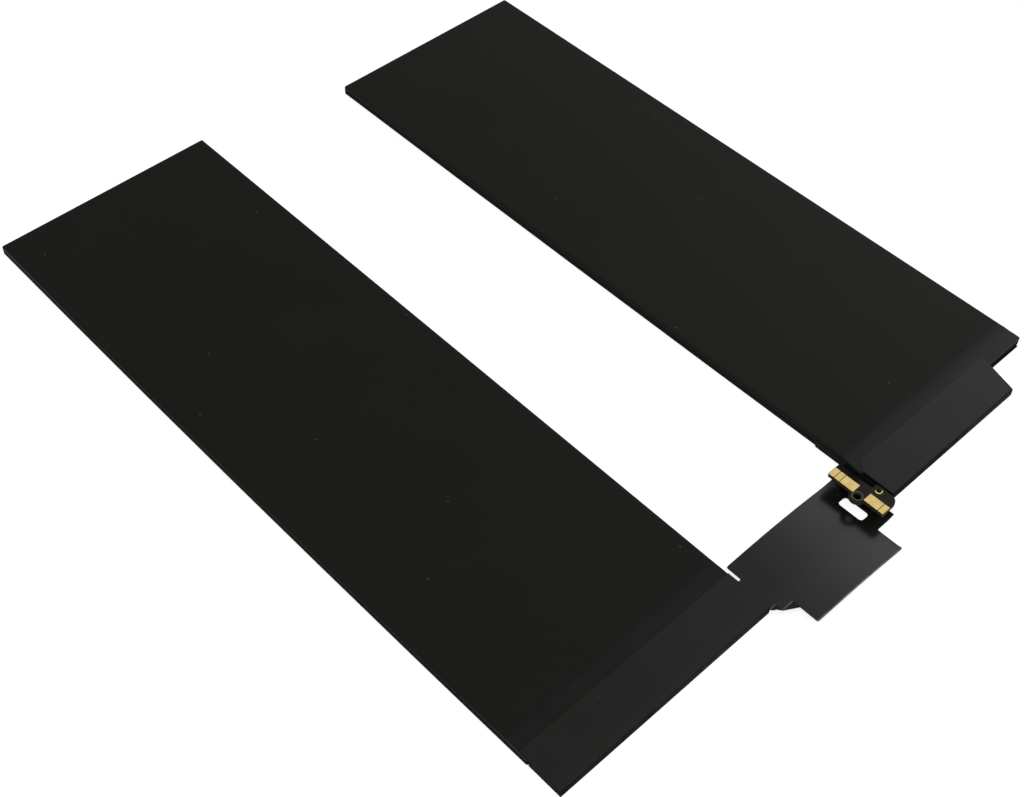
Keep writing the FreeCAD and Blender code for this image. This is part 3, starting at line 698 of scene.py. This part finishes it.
def background_rays(tree):
    """Socket that is 1 for the rays that show a background: the camera's, and those of gloss and glass."""
    rays = add(tree, "ShaderNodeLightPath").outputs
    seen = add(tree, "ShaderNodeMath", {0: rays["Is Camera Ray"], 1: rays["Is Glossy Ray"]},
               operation="MAXIMUM")
    shown = add(tree, "ShaderNodeMath", {0: seen.outputs[0], 1: rays["Is Transmission Ray"]},
                operation="MAXIMUM")
    return shown.outputs[0]


class BATTERY_OT_pouch_cells(bpy.types.Operator):
    """Finish both pouch cells, fold their side seams and burnish their pressed ledges"""

    bl_idname = "battery.pouch_cells"
    bl_label = "Pouch cells"

    def execute(self, context):
        films = context.scene.battery_films
        laminate = pouch_laminate(films)
        coat(laminate, "left_cell", "right_cell")
        self.fold_seams(films, film_strip_tree("side seam strip", laminate))
        ledge = skin_tree("pressed ledge", pressed_laminate(films), flattest=1.1, steepest=0.9)
        limits = {"Lift": films.skin, "Far limit": LEDGE_REACH, "Right limit": NO_LIMIT}
        grown(merged_copy("left_cell"), "left_pressed_ledge", ledge, limits)
        grown(merged_copy("right_cell"), "right_pressed_ledge", ledge, limits)
        return {"FINISHED"}

    def fold_seams(self, films, tree):
        """Strip of film along each side of each pouch."""
        outer, inner = films.outer_bow, films.inner_bow
        half = films.seam_thickness / 2
        sunk = 2 * films.seam_thickness
        first = END_WALL + SEAM_MARGIN
        past_tape = max(first, SEAM_TAPE[1].y)
        left_end, right_end = LEFT_CELL[1].y, RIGHT_CELL[1].y
        sides = {
            "left_outer_seam": (LEFT_CELL[0].x + outer - half, outer, first, left_end, sunk),
            "left_inner_seam": (LEFT_CELL[1].x + half, 0.0, first, left_end, -sunk),
            "right_inner_seam": (RIGHT_CELL[0].x + inner - half, inner, past_tape, right_end, sunk),
            "right_outer_seam": (RIGHT_CELL[1].x + half, 0.0, first, right_end, -sunk),
        }
        sizes = {"Height": films.seam_height, "Thickness": films.seam_thickness}
        for name, side in sides.items():
            grown(path(name, seam_points(*side)), name, tree, sizes)


class BATTERY_OT_end_wraps(bpy.types.Operator):
    """Finish the end wraps, the seam tape and the bridge's cover, with its cut edge and its slits' lips"""

    bl_idname = "battery.end_wraps"
    bl_label = "End wraps"

    def execute(self, context):
        films = context.scene.battery_films
        coat(wrap_film("polyester film, slit and folded", films, gloss=0.39), "left_end_wrap")
        coat(wrap_film("polyester film, slit and stuck flat", films, gloss=0.29), "right_end_wrap")
        scuffed = scuffed_film(films)
        coat(scuffed, "right_seam_tape")
        folds = skin_tree("scuffed fold", scuffed, flattest=0.8, steepest=-0.9)
        limits = {"Lift": films.skin, "Far limit": NO_LIMIT, "Right limit": FOLD_END}
        grown(merged_copy("left_end_wrap"), "left_wrap_fold", folds, limits)
        limits["Right limit"] = NO_LIMIT
        grown(merged_copy("right_end_wrap"), "right_wrap_fold", folds, limits)
        # The bead's pale colour is partly the core's tone, partly a painted highlight of the cut edge
        bead = cut_bead_tree(cut_core_and_highlight("polyester core, slit", films, films.cut_edge))
        sizes = {"Radius": films.bead, "Left limit": APRON_START, "Far limit": APRON_EDGE}
        grown(merged_copy("left_end_wrap"), "bridge_cut_edges", bead, sizes)
        self.turn_lips(films)
        return {"FINISHED"}

    def turn_lips(self, films):
        """Film's edge turned down inside each slit of the stepped corner."""
        # The lips' light colour is a painted highlight of the turned edge
        tree = film_strip_tree("slit lip", cut_core_and_highlight("polyester core, turned into a slit", films, films.lip))
        sizes = {"Height": films.lip_height, "Thickness": films.lip_width}
        level = LEFT_WRAP[1].z - films.lip_height / 2
        for name, (start, end, reach) in SLIT_LIPS.items():
            y = END_WALL - reach * MM - films.lip_width / 2
            ends = [(LEFT_CELL[1].x + x * MM, y, level) for x in (start, end)]
            grown(path(name, ends), name, tree, sizes)


class BATTERY_OT_flex_circuits(bpy.types.Operator):
    """Finish the bridge's flexible circuit, with the web in its first step, and the contact board's tail"""

    bl_idname = "battery.flex_circuits"
    bl_label = "Flexible circuits"

    def execute(self, context):
        films = context.scene.battery_films
        satin = coverlay("satin polyimide coverlay, laminated", films.coverlay, gloss=0.2, dullness=0.35)
        coat(satin, "bridge_flex")
        corner = Vector((LEFT_CELL[1].x, END_WALL, LEFT_WRAP[1].z - films.web_drop))
        plan = [corner + Vector((x, y, 0)) * MM for x, y in WEB_PLAN]
        film_web("first_slit_web", plan, films.web, satin)
        # The tail is painted near black: its own black, deepened as painted shade of the gap beside the
        # board
        matte = coverlay("matte polyimide coverlay, laminated", films.tail, gloss=0.01, dullness=0.7)
        coat(matte, "contact_tail")
        return {"FINISHED"}


class BATTERY_OT_contact_board(bpy.types.Operator):
    """Finish the contact board with its gold pads and its rings"""

    bl_idname = "battery.contact_board"
    bl_label = "Contact board"

    def execute(self, context):
        contacts = context.scene.battery_contacts
        low, high = CONTACT_BOARD
        # The board's mask is painted darker past a place along Y, as shade
        board = layered_board(contacts, "glass epoxy contact board, routed", low.z, high.z, MASK_SHADE_START)
        coat(board, "contact_board")
        gold = gold_plating(contacts)
        coat(gold, "data_pad", "clock_pad", "positive_pad", "negative_pad", "sense_pad")
        # Painted shade: the locating ring is coloured dark, so that only its rim shows bright gold
        coat(satin_metal("gold over nickel, shaded", contacts.tarnish_and_painted_shade, EVEN), "locating_ring")
        coat(satin_metal("tin over nickel, dulled", contacts.tin, EVEN), "screw_ring")
        self.swell_rim(contacts, gold)
        return {"FINISHED"}

    def swell_rim(self, contacts, gold):
        """Bright rim round the near left half of the locating hole."""
        low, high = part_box("locating_ring")
        middle = (low + high) / 2
        points = []
        for i in range(RIM_STEPS + 1):
            turn = math.radians(RIM_START + RIM_TURN * i / RIM_STEPS)
            points.append((middle.x + contacts.rim_reach * math.cos(turn),
                           middle.y + contacts.rim_reach * math.sin(turn), high.z))
        sizes = {"Radius": contacts.rim}
        grown(path("locating_rim", points), "locating_rim", rim_tree(gold), sizes)


class BATTERY_OT_inner_parts(bpy.types.Operator):
    """Finish what the end wraps hold: boards, tabs, weld plates and chips"""

    bl_idname = "battery.inner_parts"
    bl_label = "Inner parts"

    def execute(self, context):
        contacts = context.scene.battery_contacts
        low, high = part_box("left_protection_board")
        coat(layered_board(contacts, "glass epoxy protection board, routed", low.z, high.z, high.y),
             "left_protection_board", "right_protection_board")
        coat(satin_metal("nickel strip, rolled", contacts.nickel, DRAWN_ALONG_Y),
             "left_negative_tab", "right_negative_tab", "left_positive_plate", "left_negative_plate",
             "right_positive_plate", "right_negative_plate")
        coat(satin_metal("aluminium strip, rolled", contacts.aluminium, DRAWN_ALONG_Y),
             "left_positive_tab", "right_positive_tab")
        coat(moulded_epoxy(contacts),
             "left_switch_chip", "left_guard_chip", "left_thermistor", "right_switch_chip",
             "right_guard_chip", "right_thermistor", "gauge_chip", "sense_resistor")
        return {"FINISHED"}


class BATTERY_OT_studio(bpy.types.Operator):
    """Set the floor, the lights and the camera"""

    bl_idname = "battery.studio"
    bl_label = "Studio"

    def execute(self, context):
        scene = context.scene
        studio = scene.battery_studio
        scene.view_settings.view_transform = "Standard"
        self.lay_floor(scene, studio)
        self.light_sky(scene, studio)
        self.hang_lamp(scene, studio)
        self.place_camera(scene, studio)
        return {"FINISHED"}

    def lay_floor(self, scene, studio):
        """Wide pale floor just under the cells."""
        material, tree = empty_material("matte paper floor")
        lift = add(tree, "ShaderNodeMath", {0: background_rays(tree), 1: studio.floor_lift},
                   operation="MULTIPLY")
        shader = add(tree, "ShaderNodeBsdfPrincipled", {
            "Base Color": studio.floor, "Roughness": 1.0, "Specular IOR Level": 0.0,
            "Emission Color": (1, 1, 1, 1), "Emission Strength": lift.outputs[0]})
        add(tree, "ShaderNodeOutputMaterial", {"Surface": shader.outputs[0]})
        mesh = bpy.data.meshes.new("floor")
        work = bmesh.new()
        bmesh.ops.create_grid(work, x_segments=1, y_segments=1, size=FLOOR_REACH,
                              matrix=Matrix.Translation((0, 0, -FLOOR_DROP)))
        work.to_mesh(mesh)
        work.free()
        mesh.materials.append(material)
        floor = bpy.data.objects.new("floor", mesh)
        scene.collection.objects.link(floor)

    def light_sky(self, scene, studio):
        """Dim studio, dimmer at the back, with one broad soft light low on the right.

        What the camera and gloss see of it is white up to a little above the horizon.
        """
        world = bpy.data.worlds.new("studio")
        world.use_nodes = True
        tree = world.node_tree
        tree.nodes.clear()
        way = add(tree, "ShaderNodeTexCoord").outputs["Generated"]
        facing = add(tree, "ShaderNodeVectorMath", {0: way, 1: SIDE_WAY}, operation="DOT_PRODUCT")
        inside = add(tree, "ShaderNodeMapRange", {
            "Value": facing.outputs["Value"], "From Min": SIDE_EDGE, "From Max": 1.0})
        soft = add(tree, "ShaderNodeMath", {0: inside.outputs[0], 1: SIDE_FALLOFF}, operation="POWER")
        split = add(tree, "ShaderNodeSeparateXYZ", {0: way})
        dim = add(tree, "ShaderNodeMapRange", {
            "Value": split.outputs["Y"], "From Min": BACK_START, "From Max": BACK_FULL,
            "To Min": studio.sky, "To Max": BACK_SHARE * studio.sky})
        level = add(tree, "ShaderNodeMath", {0: soft.outputs[0], 1: studio.side, 2: dim.outputs[0]},
                    operation="MULTIPLY_ADD")
        horizon = add(tree, "ShaderNodeMapRange", {
            "Value": split.outputs["Z"], "From Min": HORIZON_LOW, "From Max": HORIZON_HIGH,
            "To Min": 1.0, "To Max": 0.0})
        white = add(tree, "ShaderNodeMath", {0: background_rays(tree), 1: horizon.outputs[0]},
                    operation="MULTIPLY")
        total = add(tree, "ShaderNodeMix", {0: white.outputs[0], 2: level.outputs[0], 3: 1.0})
        sky = add(tree, "ShaderNodeBackground", {"Color": (1, 1, 1, 1), "Strength": total.outputs[0]})
        add(tree, "ShaderNodeOutputWorld", {"Surface": sky.outputs[0]})
        scene.world = world

    def hang_lamp(self, scene, studio):
        """Large soft lamp high over the camera's side."""
        data = bpy.data.lights.new("softbox", "AREA")
        data.shape = "SQUARE"
        data.size = LAMP_SIZE
        data.energy = studio.lamp
        lamp = bpy.data.objects.new("softbox", data)
        lamp.location = LAMP_PLACE
        lamp.rotation_euler = (-LAMP_PLACE).to_track_quat("-Z", "Y").to_euler()
        scene.collection.objects.link(lamp)

    def place_camera(self, scene, studio):
        """Camera at the near left, looking down along the cells."""
        back = CAMERA_RIGHT.cross(CAMERA_UP).normalized()
        up = back.cross(CAMERA_RIGHT).normalized()
        turn = Matrix((CAMERA_RIGHT.normalized(), up, back)).transposed().to_4x4()
        data = bpy.data.cameras.new("camera")
        data.sensor_width = 36.0
        data.lens = studio.lens
        data.clip_start = 0.01
        data.clip_end = 20.0
        camera = bpy.data.objects.new("camera", data)
        camera.matrix_world = Matrix.Translation(CAMERA_PLACE) @ turn
        scene.collection.objects.link(camera)
        scene.camera = camera


class BATTERY_PT_panel(bpy.types.Panel):
    """Steps that dress the battery, in their order, and their settings"""

    bl_idname = "BATTERY_PT_panel"
    bl_label = "Tablet Battery"
    bl_space_type = "VIEW_3D"
    bl_region_type = "UI"
    bl_category = "Battery"

    def draw(self, context):
        scene = context.scene
        for step in STEPS:
            self.layout.operator(step.bl_idname)
        for group in (scene.battery_films, scene.battery_contacts, scene.battery_studio):
            for name in group.__annotations__:
                self.layout.prop(group, name)


STEPS = (
    BATTERY_OT_pouch_cells,
    BATTERY_OT_end_wraps,
    BATTERY_OT_flex_circuits,
    BATTERY_OT_contact_board,
    BATTERY_OT_inner_parts,
    BATTERY_OT_studio,
)
CLASSES = (BatteryFilms, BatteryContacts, BatteryStudio, *STEPS, BATTERY_PT_panel)


def register():
    for cls in CLASSES:
        bpy.utils.register_class(cls)
    bpy.types.Scene.battery_films = PointerProperty(type=BatteryFilms)
    bpy.types.Scene.battery_contacts = PointerProperty(type=BatteryContacts)
    bpy.types.Scene.battery_studio = PointerProperty(type=BatteryStudio)


def unregister():
    del bpy.types.Scene.battery_studio
    del bpy.types.Scene.battery_contacts
    del bpy.types.Scene.battery_films
    for cls in reversed(CLASSES):
        bpy.utils.unregister_class(cls)


def main():
    register()
    bpy.ops.battery.pouch_cells()
    bpy.ops.battery.end_wraps()
    bpy.ops.battery.flex_circuits()
    bpy.ops.battery.contact_board()
    bpy.ops.battery.inner_parts()
    bpy.ops.battery.studio()


if __name__ == "__main__":
    main()
